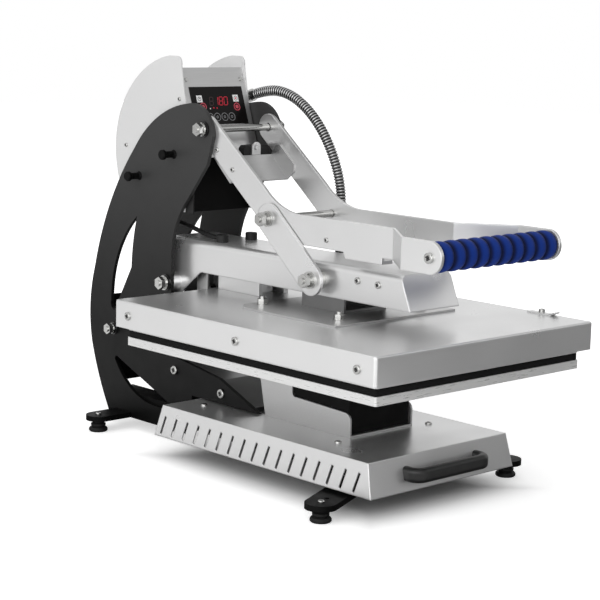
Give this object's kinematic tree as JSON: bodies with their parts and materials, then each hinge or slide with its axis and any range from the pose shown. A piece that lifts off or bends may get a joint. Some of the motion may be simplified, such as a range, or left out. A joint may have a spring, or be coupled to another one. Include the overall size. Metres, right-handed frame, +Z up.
{
  "type": "clamshell heat press",
  "caption": "Clamshell heat press with curved side frame, toggle lever and ribbed grip, hinged heated upper platen, pull-out lower platen drawer and control box.",
  "frame": {"origin": "middle of the footprint's bounding box, on the surface that the rubber feet stand on", "axes": "+X to the operator's right, +Y from the grip to the back of the frame, +Z up"},
  "size_m": [0.4326, 0.7942, 0.5831],
  "materials": {
    "black_coat": "fine satin powder coat",
    "silver_coat": "smooth satin silver powder coat",
    "bare_steel": "brushed sheet steel",
    "aluminium": "milled plate",
    "zinc": "bright zinc plate",
    "black_rubber": "matt moulded rubber",
    "black_plastic": "satin moulded plastic",
    "foil": "printed glossy foil",
    "board": "green circuit board",
    "blanket": "soft needled fibre blanket",
    "pad": "matt silicone foam",
    "blue_grip": "matt ribbed rubber"
  },
  "bodies": {
    "frame": {"right_side_plate": "black_coat", "left_side_plate": "black_coat", "front_cross_panel": "black_coat", "rear_cross_panel": "black_coat", "upper_cross_panel": "black_coat", "base_beams": "black_coat", "foot_bars": "black_coat", "rubber_feet": "black_rubber", "frame_screws": "zinc", "accessory_knobs": "black_plastic", "pivot_bolts": "zinc", "gas_spring_axle": "zinc", "right_control_cheek": "silver_coat", "left_control_cheek": "silver_coat", "control_front_panel": "bare_steel", "display_panel": "foil", "control_rear_cover": "silver_coat", "control_board": "board", "mains_inlet": "black_plastic", "panel_screws": "zinc", "box_gland": "zinc", "fixed_slides": "zinc", "heater_conduit": "zinc", "sensor_cable": "black_rubber"},
    "switch": {"power_switch": "black_plastic"},
    "upper_arm": {"arm_channel": "silver_coat", "platen_hood": "silver_coat", "heating_platen": "aluminium", "insulation_blanket": "blanket", "mounting_plate": "bare_steel", "mounting_studs": "zinc", "platen_hanger": "bare_steel", "toggle_shaft": "zinc", "terminal_cover": "bare_steel", "arm_screws": "zinc", "rubber_stops": "black_rubber", "gas_spring_bracket": "bare_steel", "platen_gland": "zinc"},
    "lever": {"right_lever_arm": "silver_coat", "left_lever_arm": "silver_coat", "lever_cross_rods": "zinc", "lever_cross_bracket": "bare_steel", "lever_bumper": "black_rubber", "handle_grip": "blue_grip", "grip_shaft": "zinc", "lever_bolts": "zinc"},
    "links": {"right_link": "silver_coat", "left_link": "silver_coat", "link_end_bolts": "zinc"},
    "gas_cylinder": {"gas_cylinders": "black_plastic"},
    "gas_rod": {"gas_rods": "zinc"},
    "middle_slide": {"middle_slides": "zinc"},
    "drawer": {"drawer_slides": "zinc", "base_cover": "silver_coat", "drawer_handle": "black_plastic", "platen_bracket": "bare_steel", "platen_support": "black_coat", "lower_platen": "aluminium", "silicone_pad": "pad", "drawer_screws": "zinc"}
  },
  "joints": [
    {"name": "arm_hinge", "type": "hinge", "parent": "frame", "child": "upper_arm", "pos_m": [0, 0.207, 0.243], "axis": [-1, 0, 0], "range_deg": [0, 27], "deforming": ["heater_conduit", "sensor_cable"]},
    {"name": "lever_hinge", "type": "hinge", "parent": "frame", "child": "lever", "pos_m": [0, 0.123, 0.4795], "axis": [-1, 0, 0], "range_deg": [0, 59.4]},
    {"name": "link_hinge", "type": "hinge", "parent": "lever", "child": "links", "pos_m": [0, -0.019, 0.363], "axis": [-1, 0, 0], "range_deg": [-106.9, 0]},
    {"name": "gas_cylinder_pivot", "type": "hinge", "parent": "frame", "child": "gas_cylinder", "pos_m": [0, 0.335, 0.154], "axis": [-1, 0, 0], "range_deg": [0, 5.92]},
    {"name": "gas_rod_slide", "type": "slide", "parent": "gas_cylinder", "child": "gas_rod", "axis": [0, -0.9095, 0.4158], "range_m": [0, 0.00945]},
    {"name": "drawer_slide", "type": "slide", "parent": "frame", "child": "drawer", "axis": [0, -1, 0], "range_m": [0, 0.3]},
    {"name": "middle_slide_travel", "type": "slide", "parent": "frame", "child": "middle_slide", "axis": [0, -1, 0], "range_m": [0, 0.15]},
    {"name": "power_rocker", "type": "hinge", "parent": "frame", "child": "switch", "pos_m": [0, 0.333, 0.462], "axis": [1, 0, 0], "range_deg": [0, 16]}
  ],
  "couplings": [
    {"joint": "lever_hinge", "follows": "arm_hinge", "ratio": 2.197},
    {"joint": "link_hinge", "follows": "arm_hinge", "ratio": -3.9572},
    {"joint": "gas_cylinder_pivot", "follows": "arm_hinge", "ratio": 0.21834},
    {"joint": "gas_rod_slide", "follows": "arm_hinge", "m_per_rad": 0.019955},
    {"joint": "middle_slide_travel", "follows": "drawer_slide", "ratio": 0.5}
  ]
}
